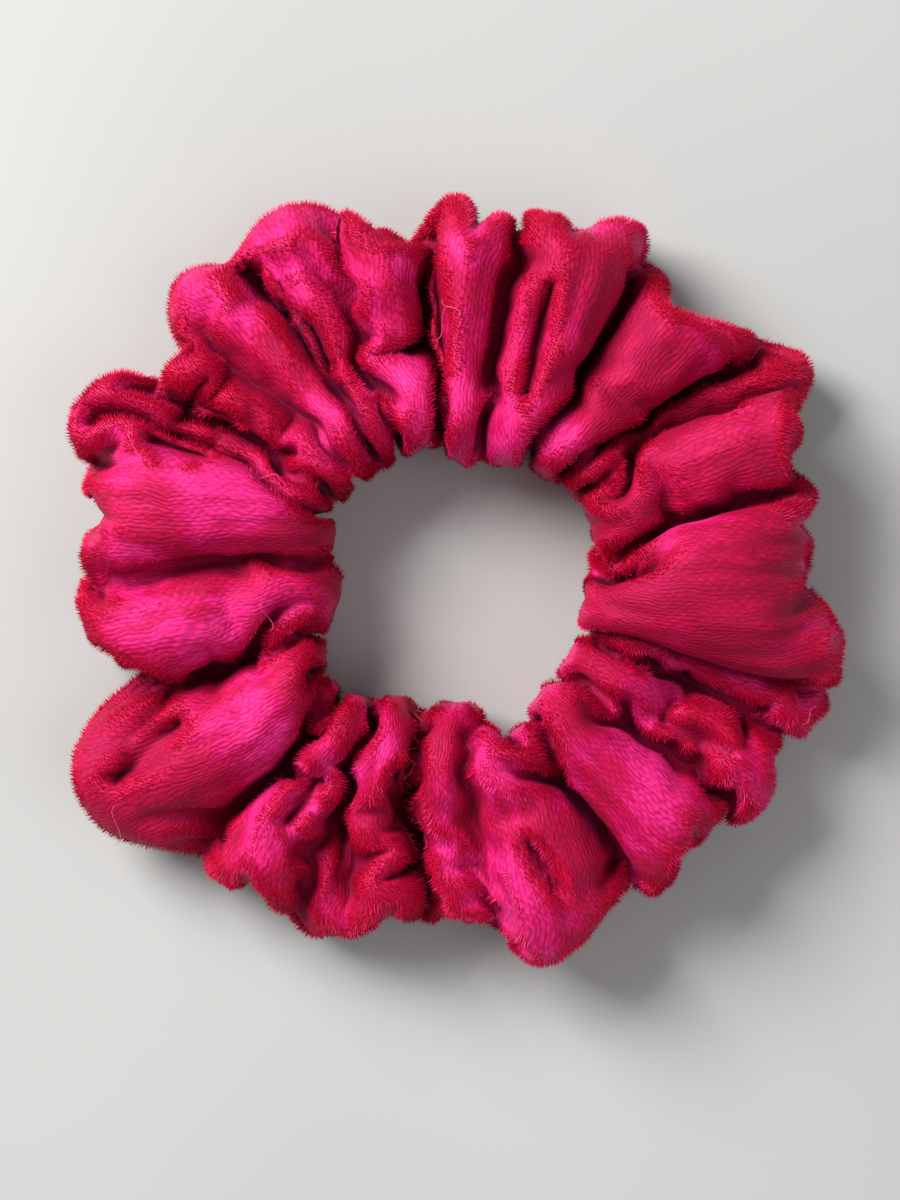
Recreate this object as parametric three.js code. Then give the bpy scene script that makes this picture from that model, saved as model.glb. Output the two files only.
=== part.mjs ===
// A gathered cloth scrunchie: one tube of velvet, bunched up on a loop of flat elastic.
// Millimetres, +Z up. The ring lies flat on Z = 0 with the middle of its hole on the Z axis.
// The tube is divided at its pinches into gathers, so that the ring can be pulled open along Y.
import * as THREE from "three";

// Driving dimensions
const HOLE_RADIUS = 19.5; // to the cloth at the fullest part of a gather
const TUBE_HEIGHT = 26;
const FLAT_REST = 2.5; // how far the tube would reach below the table if it weren't flattened by it
const GATHER_GAP_DEG = 1; // between the pinched ends of neighbours
// Outer radius of each gather, counterclockwise, the first one just past +X.
const REACH = [
  52, 57, 53, 56, 55, 51, 58, 58, 56, 55,
  50, 58, 54, 52, 50, 55, 51, 50, 55, 55,
];
const PINCH = { inner: 0.6, outer: 5, height: 4 }; // what a pinched end loses, at each side and in height
const CHANNEL = { centre: 28.5, half: 5.2 }; // the space left among the folds for the elastic
const SECTION_POINTS = 16;

const ELASTIC = { radius: 25, thickness: 1.2, width: 6, overlapDeg: 26, layerGap: 0.35, lapAngle: 270 };
const ELASTIC_STEPS = 90;
const STITCH_THREAD = { radius: 0.25, turns: 5, halfSpanDeg: 9, halfWidth: 2.2 };
const SEAM_THREAD = { radius: 0.3, ringRadius: 31 };
const CLEARANCE = 0.3;

const MID_HEIGHT = TUBE_HEIGHT / 2;
const GATHER_DEG = 360 / REACH.length;
const HALF_GATHER_DEG = (GATHER_DEG - GATHER_GAP_DEG) / 2;
const CLOSING_ANGLE = 270; // where the tube's two ends are sewn together, between two gathers
const CLOSING_REACH = 52;

const velvet = new THREE.MeshStandardMaterial({ color: 0xb3083c, roughness: 0.65, metalness: 0 });
const elasticCord = new THREE.MeshStandardMaterial({ color: 0xf2efe9, roughness: 0.8, metalness: 0 });
const whiteThread = new THREE.MeshStandardMaterial({ color: 0xe8e4dc, roughness: 0.7, metalness: 0 });
const redThread = new THREE.MeshStandardMaterial({ color: 0xc4103f, roughness: 0.7, metalness: 0 });

const rad = THREE.MathUtils.degToRad;

// A point at radius r and height z, at an angle round the ring.
function onRing(r, z, degrees) {
  return new THREE.Vector3(r * Math.cos(rad(degrees)), r * Math.sin(rad(degrees)), z);
}

// Evenly spaced angles of a cross-section, counterclockwise from its outermost point.
const sectionAngles = Array.from({ length: SECTION_POINTS }, (_, k) => (2 * Math.PI * k) / SECTION_POINTS);

// The tube's cross-section as [radius, height] pairs: an oval with a flat underside.
// pinch goes from 0 at the fullest part of a gather to 1 at its end, and outset makes it larger all round.
function tubeSection(reach, pinch, outset = 0) {
  const inner = HOLE_RADIUS + PINCH.inner * pinch - outset;
  const outer = reach - PINCH.outer * pinch + outset;
  const halfHeight = (TUBE_HEIGHT - PINCH.height * pinch) / 2 + outset;
  return sectionAngles.map((a) => {
    const r = (inner + outer) / 2 + ((outer - inner) / 2) * Math.cos(a);
    const fullHeight = Math.sin(a) > 0 ? halfHeight : halfHeight + FLAT_REST;
    return [r, MID_HEIGHT + Math.max(-halfHeight, fullHeight * Math.sin(a))];
  });
}

// The channel's cross-section in the same form.
function channelSection() {
  const { centre, half } = CHANNEL;
  return sectionAngles.map((a) => [centre + half * Math.cos(a), MID_HEIGHT + half * Math.sin(a)]);
}

// A closed surface from rings of points, each joined to the next and the last to the first.
// Every ring runs counterclockwise as seen by someone who looks on to the next ring.
function closedSweep(rings) {
  const n = rings[0].length;
  const positions = rings.flat().flatMap((p) => [p.x, p.y, p.z]);
  const index = [];
  rings.forEach((_, i) => {
    const a = i * n;
    const b = ((i + 1) % rings.length) * n;
    for (let k = 0; k < n; k++) {
      const next = (k + 1) % n;
      index.push(a + k, b + next, a + next, a + k, b + k, b + next);
    }
  });
  const geometry = new THREE.BufferGeometry();
  geometry.setAttribute("position", new THREE.Float32BufferAttribute(positions, 3));
  geometry.setIndex(index);
  return geometry;
}

// A round thread along a closed line of points that lies in a plane through the Z axis.
function threadLoop(points, radius, planeNormal, sides = 6) {
  const rings = points.map((p, i) => {
    const ahead = points[(i + 1) % points.length];
    const behind = points[(i + points.length - 1) % points.length];
    const outward = ahead.clone().sub(behind).normalize().cross(planeNormal);
    return Array.from({ length: sides }, (_, k) => {
      const a = (2 * Math.PI * k) / sides;
      return p.clone()
        .addScaledVector(outward, radius * Math.cos(a))
        .addScaledVector(planeNormal, radius * Math.sin(a));
    });
  });
  return closedSweep(rings);
}

function mesh(name, geometry, material) {
  const made = new THREE.Mesh(geometry, material);
  made.name = name;
  return made;
}

// One gather: bunched cloth, full in the middle and pinched at both ends, with the channel through it.
function gather(i) {
  const place = (section, along) => {
    const angle = (i + 0.5) * GATHER_DEG + along * HALF_GATHER_DEG;
    return section.map(([r, z]) => onRing(r, z, angle));
  };
  const rings = [
    place(tubeSection(REACH[i], 1), -1),
    place(tubeSection(REACH[i], 0), -0.5),
    place(tubeSection(REACH[i], 0), 0.5),
    place(tubeSection(REACH[i], 1), 1),
    place(channelSection(), 1),
    place(channelSection(), -1),
  ];
  return mesh("cover_gather_" + String(i + 1).padStart(2, "0"), closedSweep(rings), velvet);
}

// The flat elastic: a strip bent to a loop in the channel, its end lapped over its own start.
function elasticBand() {
  const total = 360 + ELASTIC.overlapDeg;
  const start = ELASTIC.lapAngle - ELASTIC.overlapDeg / 2;
  const climb = 20; // degrees over which the strip steps out to lie on its own start
  const step = ELASTIC.thickness + ELASTIC.layerGap;
  const side = (offset) => Array.from({ length: ELASTIC_STEPS + 1 }, (_, k) => {
    const along = (total * k) / ELASTIC_STEPS;
    const out = step * THREE.MathUtils.smoothstep(along, 360 - climb, 360);
    const p = onRing(ELASTIC.radius + out + offset, 0, start + along);
    return new THREE.Vector2(p.x, p.y);
  });
  const outline = new THREE.Shape([...side(ELASTIC.thickness), ...side(0).reverse()]);
  const geometry = new THREE.ExtrudeGeometry(outline, { depth: ELASTIC.width, bevelEnabled: false });
  geometry.translate(0, 0, MID_HEIGHT - ELASTIC.width / 2);
  return mesh("elastic_band", geometry, elasticCord);
}

// The zigzag that sews the elastic's two ends together, on the outside of the lap.
function elasticStitching() {
  const outside = ELASTIC.radius + 2 * ELASTIC.thickness + ELASTIC.layerGap;
  const r = outside + CLEARANCE + STITCH_THREAD.radius;
  const corners = 2 * STITCH_THREAD.turns;
  const points = Array.from({ length: corners + 1 }, (_, k) => onRing(
    r,
    MID_HEIGHT + STITCH_THREAD.halfWidth * (k % 2 ? 1 : -1),
    ELASTIC.lapAngle + STITCH_THREAD.halfSpanDeg * ((2 * k) / corners - 1),
  ));
  const thread = new THREE.Shape();
  thread.absarc(0, 0, STITCH_THREAD.radius, 0, 2 * Math.PI);
  const geometry = new THREE.ExtrudeGeometry(thread, {
    steps: 4 * corners,
    curveSegments: 3,
    bevelEnabled: false,
    extrudePath: new THREE.CatmullRomCurve3(points, false, "catmullrom", 0.2),
  });
  return mesh("elastic_stitching", geometry, whiteThread);
}

// The thread of the long seam that makes the strip a tube. It lies inside, beside the elastic.
function sideSeamThread() {
  const geometry = new THREE.TorusGeometry(SEAM_THREAD.ringRadius, SEAM_THREAD.radius, 6, 80);
  geometry.translate(0, 0, MID_HEIGHT);
  return mesh("side_seam_thread", geometry, redThread);
}

// The thread that joins the tube's two ends: a loop round the pinch between two gathers.
function closingSeamThread() {
  const outset = CLEARANCE + SEAM_THREAD.radius;
  const loop = tubeSection(CLOSING_REACH, 1, outset);
  const points = loop.map(([r, z]) => onRing(r, z, CLOSING_ANGLE));
  const planeNormal = onRing(1, 0, CLOSING_ANGLE - 90);
  return mesh("closing_seam_thread", threadLoop(points, SEAM_THREAD.radius, planeNormal), redThread);
}

const scrunchie = new THREE.Group();
REACH.forEach((_, i) => scrunchie.add(gather(i)));
scrunchie.add(elasticBand(), elasticStitching(), sideSeamThread(), closingSeamThread());

export default scrunchie;
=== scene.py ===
"""The looks of a gathered velvet scrunchie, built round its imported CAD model.

The cover is one strip of velvet. It is run through a short cloth simulation that pulls a wide tube
together on its elastic, with its main folds led to the places where the photographed ones lie.
Lengths are millimetres in the simulation and in every piece's points, which new_mesh turns into
metres. The camera, the floor, the lights and the materials are given in metres.
"""
import math

import bpy
import numpy as np
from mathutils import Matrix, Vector
from mathutils.bvhtree import BVHTree


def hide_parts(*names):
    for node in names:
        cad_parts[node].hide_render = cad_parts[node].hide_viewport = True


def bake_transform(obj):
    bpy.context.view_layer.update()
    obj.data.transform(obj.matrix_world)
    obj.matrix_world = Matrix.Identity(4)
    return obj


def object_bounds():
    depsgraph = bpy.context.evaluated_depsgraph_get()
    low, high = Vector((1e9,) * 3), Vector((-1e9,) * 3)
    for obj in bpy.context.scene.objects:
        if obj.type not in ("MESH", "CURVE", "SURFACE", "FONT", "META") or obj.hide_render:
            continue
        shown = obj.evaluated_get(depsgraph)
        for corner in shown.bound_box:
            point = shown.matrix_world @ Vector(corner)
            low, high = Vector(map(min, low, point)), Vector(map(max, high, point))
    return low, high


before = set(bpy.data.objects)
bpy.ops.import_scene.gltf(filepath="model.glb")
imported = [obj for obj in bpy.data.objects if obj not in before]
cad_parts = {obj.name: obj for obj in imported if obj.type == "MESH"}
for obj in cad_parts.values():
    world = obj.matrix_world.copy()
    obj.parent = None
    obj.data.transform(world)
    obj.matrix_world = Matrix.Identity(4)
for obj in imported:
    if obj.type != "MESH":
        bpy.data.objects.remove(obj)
CAD_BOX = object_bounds()

MM = 0.001
TAU = 2 * math.pi
F = np.float32
SEED = 7

# The view: straight down, with the ring a little right of and above the picture's middle
VIEW_HEIGHT = 0.1656
CAMERA_DISTANCE = 0.42
RING_SHIFT = (0.0008, 0.0018)
SENSOR = 36.0

FLOOR_HALF = 0.6  # half the floor's side
WORLD_COLOUR = (0.97, 0.98, 1.0)
WORLD_STRENGTH = 0.31

# The simulated cloth, and its grid: columns run round the ring and rows round the tube
STRIP_LENGTH = 600.0
STRIP_GIRTH = 95.0
COLUMNS = 328
ROWS = 48
SUBDIVIDE = 2

# The elastic's ring, which the cloth can't pass through
ELASTIC_RADIUS = 25.6
ELASTIC_HEIGHT = 11.0
ELASTIC_HALF_WIDTH = 2.4
ELASTIC_ROOM = 1.6
ELASTIC_TOP = 15.5  # the cloth over it stays above this

# Crests and troughs by turns, counterclockwise. Each has its angle at the rim, halfway and at the
# hole, its radius and height at the rim, its height halfway, and how far it draws back at the hole.
FOLDS = [
    (-176, -188, -197, 51, 13, 24, 0), (-172, -171, -172, 47, 10, 13, 1.5),
    (-167, -165, -163, 46, 11, 19, 0), (-164, -161.5, -160.5, 44, 6, 6, 4.5),
    (-158, -157, -155, 57, 9, 22, 0), (-151.5, -152.5, -153, 59, 15, 11, 1.5),
    (-148, -150, -151, 61, 10, 23, 0), (-132.5, -132.5, -134, 49, 6, 6, 4.5),
    (-129.5, -129, -129, 53, 6, 18, 0), (-125.5, -125.5, -126, 48, 11, 11, 1.5),
    (-121, -122, -124, 49, 12, 20, 0), (-117, -118.5, -122, 47, 7, 9, 4.5),
    (-112, -115, -121, 53.5, 7, 13, 0), (-106, -114, -122, 48, 7, 9, 4.5),
    (-101, -109, -117, 45.5, 17, 24, 0), (-97, -101, -107, 42, 5, 4, 4.5),
    (-92, -97, -101, 47.5, 8, 15, 0), (-88.5, -92, -96, 46, 7, 10, 1.5),
    (-85, -88, -90, 47, 8, 18, 0), (-83.5, -85.5, -86, 47, 8, 10, 4.5),
    (-79.5, -81, -81, 55, 9, 20, 0), (-73, -72, -71, 52, 14, 12, 1.5),
    (-69, -68.5, -67, 51, 12, 23, 0), (-58, -57, -58, 47, 6, 8, 4.5),
    (-54.5, -54.5, -55, 52, 6, 14, 0), (-52.5, -53, -53, 47, 6, 8, 1.5),
    (-50, -51, -50, 47, 10, 18, 0), (-48.5, -48, -47.5, 46, 8, 11, 1.5),
    (-45, -43.5, -43, 49.5, 11, 19, 0), (-39, -38, -38, 47, 7, 8, 4.5),
    (-39, -39, -39, 51, 9, 21, 0), (-34, -32, -32, 53, 10, 18, 1.5),
    (-28, -26, -26, 51, 8, 20, 0), (-24, -21.5, -21.5, 47, 6, 6, 4.5),
    (-19, -17.5, -17, 55, 7, 18, 0), (-14.5, -12.5, -11, 50, 8, 8, 4.5),
    (-13.5, -13.5, -12, 55, 11, 22, 0), (-7, -8.5, -8, 53, 13, 16, 1.5),
    (-2, -3, -4, 50.5, 12, 22, 0), (3, 2.5, 2, 49, 6, 6, 1.5),
    (7, 6.5, 4.5, 50.5, 7, 14, 0), (10.5, 8, 5.5, 47, 7, 8, 1.5),
    (14.5, 10.5, 7, 52.6, 9, 15, 0), (21, 15, 11, 48, 9, 10, 4.5),
    (20, 12, 7, 50, 15, 22, 0), (26, 27, 27, 53, 16, 20, 1.5),
    (28, 37, 40, 53, 16, 24, 0), (27, 34, 37, 49, 8, 8, 4.5),
    (31.5, 37.5, 44, 60, 8, 15, 0), (37.5, 40.5, 45, 53, 6, 5, 4.5),
    (41, 43, 47, 53, 10, 19, 0), (49, 50.5, 52, 49, 10, 13, 1.5),
    (53, 55, 59, 48, 11, 19, 0), (55.5, 59, 63, 47, 7, 8, 1.5),
    (57, 60, 64, 53, 5, 12, 0), (60.5, 62.5, 66, 50, 6, 5, 4.5),
    (63, 66, 68, 57, 13, 23, 0), (71, 73, 72, 51, 14, 9, 1.5),
    (78, 80.5, 78, 53.5, 12, 23, 0), (79, 80, 78, 49, 8, 9, 4.5),
    (83, 85.5, 84, 48, 10, 18, 0), (86, 87.5, 88.5, 47, 8, 9, 1.5),
    (89, 90.5, 90, 56, 11, 20, 0), (95, 94.5, 95, 48, 6, 4, 4.5),
    (100, 101, 98, 49, 13, 22, 0), (104, 106, 106, 48, 15, 19, 1.5),
    (107, 114, 118, 47, 15, 24, 0), (104, 110, 114, 46, 7, 8, 4.5),
    (112, 117.5, 121, 60, 8, 17, 0), (121, 120, 122, 55, 8, 9, 4.5),
    (132.5, 127, 123, 61, 9, 20, 0), (140, 135, 130, 50, 8, 9, 4.5),
    (139, 137, 133, 51, 14, 23, 0), (146, 147.5, 148, 49, 7, 6, 4.5),
    (149, 149.5, 149, 56, 11, 21, 0), (154, 153, 151, 57, 15, 7, 4.5),
    (158.5, 157, 154, 58.5, 12, 22, 0), (161, 159, 155, 52, 8, 8, 1.5),
    (164, 161.5, 156, 54.5, 9, 18, 0), (167, 163.5, 157, 49, 8, 10, 1.5),
    (173, 166, 158, 52, 10, 18, 0), (181, 175, 167, 48, 9, 10, 4.5),
]
CLOSING_FOLD = 15  # the trough where the tube's ends are joined

# The hole's radius at some angles
HOLE = [
    (-180, 15.5), (-146, 22.5), (-132, 21.5), (-116, 17.5), (-83, 16.5), (-72, 23), (-48, 19), (-27, 19),
    (-6, 18), (25, 21.5), (38, 21.5), (60, 20), (84, 17), (100, 20.5), (119, 20), (149, 20.4),
]

# The ring's outline from above, with its pile: angle and radius
OUTLINE = [
    (-180, 52.8), (-174, 52.3), (-169, 50.6), (-166, 46.7), (-165, 43.6), (-163, 48.5), (-161, 53.5),
    (-158, 57), (-155, 60.8), (-150, 61.8), (-146, 61.2), (-142, 58.4), (-138, 55.3), (-134, 52.3),
    (-131, 53.5), (-127, 52.8), (-124, 50), (-118, 52.6), (-113, 54), (-107, 51.6), (-103, 48),
    (-100, 46.7), (-95, 47.3), (-92, 46.3), (-88, 46.7), (-83, 47.7), (-81, 49.8), (-79, 54), (-76, 55),
    (-70, 52.5), (-65, 49.8), (-61, 49), (-57, 51.6), (-53, 51), (-50, 48), (-47, 49.5), (-42, 48.5),
    (-40, 51.6), (-36, 53.5), (-31, 52.2), (-27.5, 49.8), (-26, 52.2), (-22, 53.5), (-17, 55.5),
    (-12, 54.7), (-7, 54.7), (-3, 51.6), (1, 48.5), (3, 49.8), (7, 50.4), (11.5, 50.2), (14, 52.3),
    (17, 51.6), (20, 48.6), (23, 51), (25, 52.5), (28, 52.5), (28.5, 56), (30, 59.6), (33, 60), (36, 58),
    (40, 55.4), (45, 52.3), (50, 49.8), (53, 48.5), (55, 52), (58, 53.8), (60, 54.8), (62, 56.5),
    (64, 57), (67, 55.7), (70, 53.2), (72, 52.4), (74, 53.7), (78, 53.5), (81, 52.3), (84, 53.5),
    (88, 56), (91, 55), (95, 50.4), (98, 48.5), (100, 49.8), (104, 54), (106, 57), (110, 59.6),
    (114, 60), (120, 59.6), (122.5, 57), (124, 54.3), (127, 55.5), (129, 59.6), (133, 61), (136, 59),
    (137.5, 54.5), (138, 48.5), (139, 50), (143, 50.6), (146, 50.5), (147, 55.5), (150, 57.8), (154, 59),
    (158, 58), (160, 55.7), (163, 54.7), (166, 53), (168.5, 50), (172, 52.5),
]
PILE_AT_RIM = 1.2

# The simulation
START_RADIUS = 50.0
GATHER_STEPS = 450
SETTLE_STEPS = 300
START_NOISE = 0.1
KEEP_SPEED = 0.9
GRAVITY = 0.004
MAX_SPEED = 0.6
MAX_STEP = 0.8
FOLD_GAP = 2.3  # between the middles of two layers that touch
PAIR_REACH = 1.7  # how much further than that pairs are looked for
PAIRS_EVERY = 6
STRETCH_PASSES = 2
PUSH_BACK = 0.6  # how much of a squeeze along the cloth is undone
SHEAR = 0.25
BEND = 0.06
WIDE_BEND = 0.08
WIDE_BEND_OPEN = 0.8
CREST_OPEN = 0.55
RIM_CREASE = 0.3
HOLE_EASE = 0.45  # how much shorter the rows at the hole are: their small pleats are left out
GUIDE = 0.07
GUIDE_REACH = 1.6  # in columns
UNDERSIDE_GUIDE = 0.3
RIM_GUIDE = {"crest": 0.15, "trough": 0.5, "hold": 0.4}
HOLE_GUIDE = 0.08
MID_HEIGHT = 12  # crests are raised from here, and troughs deepened
RELIEF = 1.25
CREASE_RELIEF = 2.0
LIFT = 1.0
DEEP_NOTCH = 4  # a trough that draws back further than this at the hole is a deep one
DEEP_HOLD = 1.0  # how much of the guide stays on the deep troughs while the cloth settles
OUTLINE_PULL = 0.25
PRESSURE = 0.035  # the springy cloth inside, once the ring is drawn in
LOW_TROUGH = 6.0
TABLE_HEIGHT = 0.9


def smooth(t):
    return t * t * (3 - 2 * t)


def bow(at_rim, halfway, at_hole, s):
    """A quadratic through three values at s = 0, 1/2 and 1."""
    return at_rim * (1 - s) * (1 - 2 * s) + halfway * 4 * s * (1 - s) + at_hole * s * (2 * s - 1)


def pull(a, b, rest, k, squeezed=None):
    """How far b should move towards a, and a the other way, for the two to be rest apart."""
    d = b - a
    length = np.sqrt(np.einsum("...i,...i->...", d, d)) + F(1e-6)
    e = (length - rest) / length
    if squeezed is None:
        e *= F(0.5 * k)
    else:
        e = np.where(e > 0, e * F(0.5 * k), e * F(0.5 * squeezed))
    d *= e[..., None]
    return d


def unit(v):
    return v / (np.linalg.norm(v, axis=-1, keepdims=True) + 1e-9)


def directions(grid):
    """The closed grid's unit directions round the ring and round the tube, and its outward normals."""
    du = unit(np.roll(grid, -1, 0) - np.roll(grid, 1, 0))
    dv = unit(np.roll(grid, -1, 1) - np.roll(grid, 1, 1))
    return du, dv, unit(np.cross(du, dv))


class Gathering:
    """The cloth tube on its elastic, as a closed grid of points."""

    def __init__(self):
        self.du = STRIP_LENGTH / COLUMNS
        self.dv = STRIP_GIRTH / ROWS
        self.psi = TAU * np.arange(ROWS) / ROWS  # 0 outermost, then over the top to the hole
        self.across = 0.5 * (1 - np.cos(self.psi))  # 0 at the rim, 1 at the hole
        self.lay_out()
        self.weigh()

    def lay_out(self):
        """Gives each column its share of the cloth and its place in the folds."""
        rim, mid, hole, reach, rim_z, mid_z, notch = np.array(FOLDS, float).T
        rim, mid, hole = (np.unwrap(np.radians(a)) for a in (rim, mid, hole))
        count = len(FOLDS)
        hole_r = np.interp(np.degrees(hole), *np.array(HOLE, float).T, period=360)
        hole_r = np.minimum(hole_r + notch, ELASTIC_RADIUS - ELASTIC_ROOM)
        need = np.zeros(count)
        for s, weight in ((0.0, 0.35), (0.5, 0.35), (1.0, 0.3)):
            r = reach * (1 - s) + hole_r * s
            a = bow(rim, mid, hole, s)
            p = np.stack([r * np.cos(a), r * np.sin(a), rim_z * (1 - s) + mid_z * s])
            need += weight * np.maximum(np.linalg.norm(np.roll(p, -1, 1) - p, axis=0), 3.0)
        share = 0.75 * need / need.sum() + 0.25 / count
        self.lines = np.concatenate([[0], np.cumsum(share)[:-1]]) * COLUMNS
        places = np.concatenate([self.lines + k * COLUMNS for k in (-1, 0, 1)])
        i = np.arange(COLUMNS)

        def spread(values, turn=0.0):
            return np.interp(i, places, np.concatenate([values + k * turn for k in (-1, 0, 1)]))

        self.rim, self.mid, self.hole = (spread(a, TAU) for a in (rim, mid, hole))
        self.phase = spread(np.arange(count) / 2, count / 2)  # whole at a crest
        self.reach, self.hole_r, self.rim_z, self.mid_z = map(spread, (reach, hole_r, rim_z, mid_z))
        nearest = np.argmin(np.abs(i[:, None] - places[None, :]), 1)
        self.off_line = np.abs(i - places[nearest])
        self.crest = (nearest % count) % 2 == 0
        self.deep = ~self.crest & (notch[nearest % count] > DEEP_NOTCH)

    def weigh(self):
        """How strongly each point is led, and the lengths that the cloth wants."""
        near = np.exp(-(self.off_line / GUIDE_REACH) ** 2)
        row = np.minimum(np.arange(ROWS), ROWS - np.arange(ROWS))  # rows from the rim
        rows = np.where(np.sin(self.psi) > -0.1, 1.0, UNDERSIDE_GUIDE)
        rows[row <= 2] = 1.3
        rim_rows = np.clip(1 - row / 3.0, 0, 1)
        hole_rows = np.clip(1 - (ROWS // 2 - row) / 3.0, 0, 1)
        led = near * np.where(self.crest, 0.8, 1.0)
        led_rim = near * np.where(self.crest, RIM_GUIDE["crest"], RIM_GUIDE["trough"])
        led_hole = near * np.where(self.deep, 1.0, np.where(self.crest, 0.4, 0.0)) * HOLE_GUIDE
        spread = lambda column, rows: (column[:, None] * rows)[..., None].astype(F)
        self.led = spread(led, rows)
        self.led_deep = spread(np.where(self.deep, led, 0), rows)
        self.led_rim = spread(led_rim, rim_rows)
        self.led_hole = spread(led_hole, hole_rows)
        self.rim_pull = (OUTLINE_PULL * np.clip(1 - row / 2.5, 0, 1)).astype(F)[None, :]
        row_share = 1 - HOLE_EASE * self.across ** 1.5
        self.rest_u = (self.du * row_share)[None, :].astype(F)
        self.rest_diagonal = np.hypot(self.du * row_share, self.dv)[None, :].astype(F)
        creased = np.exp(-(self.off_line / 1.2) ** 2)
        narrow = 2 * self.du * (1 - (1 - CREST_OPEN) * np.roll(creased, -1))
        wide = np.full(COLUMNS, 4 * self.du * WIDE_BEND_OPEN)
        row_share = row_share.astype(F)
        self.bend_rest_u = narrow.astype(F)[:, None] * row_share
        self.wide_rest_u = wide.astype(F)[:, None] * row_share
        rest = np.full(ROWS, 2 * self.dv)
        rest[-1] *= RIM_CREASE
        rest[[0, -2]] *= 0.5 + 0.5 * RIM_CREASE
        self.bend_rest_v = rest.astype(F)[:, None]

    def target(self, shift):
        """Where the folds should lie while the ring is shift wider than at the end."""
        s = self.across[None, :]
        up = np.sin(self.psi)[None, :]
        column = lambda a: a[:, None]
        r = (column(self.reach) + shift) * (1 - s) + (column(self.hole_r) + shift) * s
        angle = bow(column(self.rim), column(self.mid), column(self.hole), s)
        under = np.clip(-up * 2, 0, 1)  # the underside's folds are plain
        angle = angle * (1 - under) + column(self.rim + self.hole) / 2 * under
        edge_z = column(self.rim_z) * (1 - s) + ELASTIC_HEIGHT * s
        top_z = column(self.mid_z) - MID_HEIGHT
        top_z = MID_HEIGHT + LIFT + top_z * np.where(top_z > 0, RELIEF, CREASE_RELIEF)
        over_elastic = np.abs(r - ELASTIC_RADIUS - shift) < 3
        top_z = np.maximum(top_z, np.where(over_elastic, ELASTIC_TOP, 4))
        top = edge_z + (top_z - edge_z) * np.abs(up) ** 0.8
        crest = np.cos(TAU * column(self.phase)) * 0.5 + 0.5
        low_z = crest + LOW_TROUGH * (1 - crest)
        bottom = edge_z + (low_z - edge_z) * np.abs(up) ** 0.6
        return np.stack([r * np.cos(angle), r * np.sin(angle), np.where(up >= 0, top, bottom)], -1)

    @staticmethod
    def along(x, axis, rest, squeezed):
        """One pass over the threads along an axis, first from the even points and then the odd."""
        x = np.moveaxis(x, axis, 0)
        rest = np.moveaxis(rest, axis, 0) if np.ndim(rest) == 2 and axis else rest
        for odd in (0, 1):
            y = np.roll(x, -1, 0) if odd else x
            d = pull(y[0::2], y[1::2], rest, 1.0, squeezed)
            y[0::2] += d
            y[1::2] -= d
            if odd:
                x[:] = np.roll(y, 1, 0)

    def shear(self, x):
        for side in (-1, 1):
            for odd in (0, 1):
                y = np.roll(x, -1, 0) if odd else x
                d = pull(y[0::2], np.roll(y[1::2], side, 1), self.rest_diagonal, SHEAR)
                y[0::2] += d
                y[1::2] -= np.roll(d, -side, 1)
                if odd:
                    x[:] = np.roll(y, 1, 0)

    @staticmethod
    def bend(x, axis, rest, k, step):
        """Keeps points that are step apart along an axis at their distance, so that the cloth is stiff."""
        x = np.moveaxis(x, axis, 0)
        for offset in (0, step):
            y = np.roll(x, -offset, 0) if offset else x
            q = y.reshape(-1, 2 * step, *x.shape[1:])
            wanted = np.roll(rest, -offset, 0).reshape(-1, 2 * step, rest.shape[1])[:, :step]
            d = pull(q[:, :step], q[:, step:], wanted, k)
            q[:, :step] += d
            q[:, step:] -= d
            if offset:
                x[:] = np.roll(y, offset, 0)

    def find_pairs(self, grid):
        """The pairs of points that may come to touch, from a grid of cells."""
        x = grid.reshape(-1, 3)
        reach = F(FOLD_GAP * PAIR_REACH)
        cell = np.floor((x - (x.min(0) - reach)) / reach).astype(np.int64)
        size = cell.max(0) + 2
        key = (cell[:, 0] * size[1] + cell[:, 1]) * size[2] + cell[:, 2]
        order = np.argsort(key, kind="stable")
        key, x = key[order], x[order]
        total = size.prod()
        first = np.searchsorted(key, np.arange(total + 1))
        here = np.arange(len(x))
        found = []
        for n in range(13, 27):  # this cell and the half of its neighbours that come after it
            step = ((n // 9 - 1) * size[1] + n // 3 % 3 - 1) * size[2] + n % 3 - 1
            other = np.clip(key + step, 0, total - 1)
            start = here + 1 if n == 13 else first[other]
            count = np.maximum(first[other + 1] - start, 0)
            a = np.repeat(here, count)
            b = np.arange(len(a)) - np.repeat(np.cumsum(count) - count, count) + np.repeat(start, count)
            d = x[a] - x[b]
            close = np.einsum("ij,ij->i", d, d) < reach * reach
            found.append((order[a[close]], order[b[close]]))
        a, b = (np.concatenate(side) for side in zip(*found))
        di = np.abs(a // ROWS - b // ROWS)
        dj = np.abs(a % ROWS - b % ROWS)
        apart = (np.minimum(di, COLUMNS - di) > 2) | (np.minimum(dj, ROWS - dj) > 2)
        self.pairs = a[apart], b[apart]

    def collide(self, grid):
        x = grid.reshape(-1, 3)
        a, b = self.pairs
        d = x[b] - x[a]
        squared = np.einsum("ij,ij->i", d, d)
        close = squared < FOLD_GAP * FOLD_GAP
        if not close.any():
            return
        a, b, d = a[close], b[close], d[close]
        length = np.sqrt(squared[close]) + F(1e-6)
        push = (F(0.5) * (F(FOLD_GAP) - length) / length)[:, None] * d
        index = np.concatenate([a, b])
        push = np.concatenate([-push, push])
        calm = np.sqrt(np.maximum(np.bincount(index, minlength=len(x)), 1))
        for c in range(3):
            x[:, c] += (np.bincount(index, push[:, c], minlength=len(x)) / calm).astype(F)

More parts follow.
